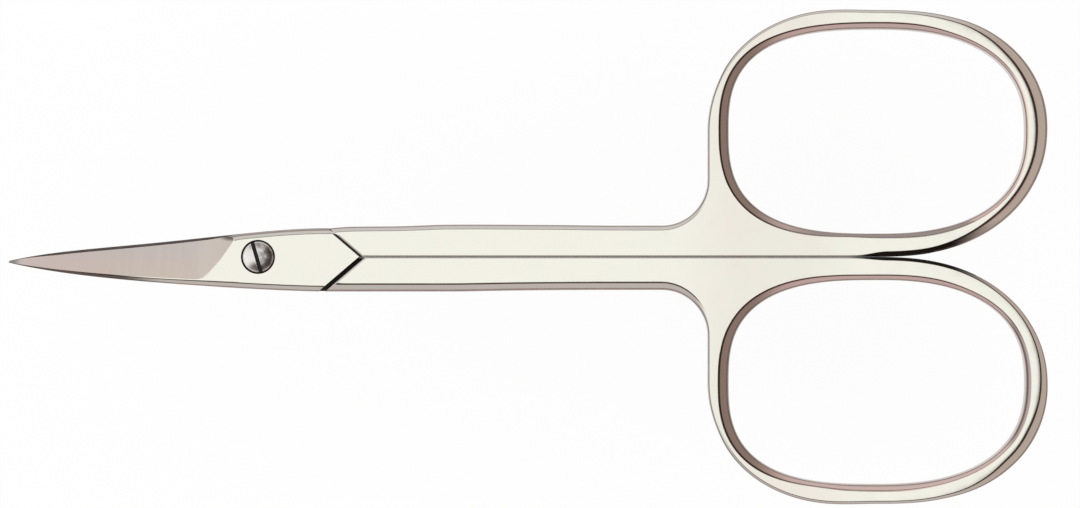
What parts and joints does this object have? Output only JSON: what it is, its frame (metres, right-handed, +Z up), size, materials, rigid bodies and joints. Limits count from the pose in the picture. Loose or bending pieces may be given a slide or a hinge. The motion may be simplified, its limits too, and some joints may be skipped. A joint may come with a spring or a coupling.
{
  "type": "cuticle scissors",
  "caption": "Small cuticle scissors with oval finger bows, slim straight shanks, a V-shouldered lap joint and fine blades that bend up at the tips, turning on a slotted screw.",
  "frame": {"origin": "where the pivot axis meets the rest face, on the underside of the joint", "axes": "+X from the pivot along the closed scissors to the bows, with the tips at -X; +Y across the bows, on the side of the head-side half's bow; +Z up from the rest face to the screw head"},
  "size_m": [0.0898, 0.0428, 0.0051],
  "materials": {
    "polished_half": "polished nickel over forged steel, with satin ground blade faces",
    "screw_steel": "turned and lightly polished steel"
  },
  "bodies": {
    "thread_side": {"thread_side_half": "polished_half", "pivot_screw": "screw_steel"},
    "head_side": {"head_side_half": "polished_half"}
  },
  "joints": [
    {"name": "pivot", "type": "hinge", "parent": "thread_side", "child": "head_side", "pos_m": [0, 0, 0], "axis": [0, 0, 1], "range_deg": [0, 125]}
  ]
}
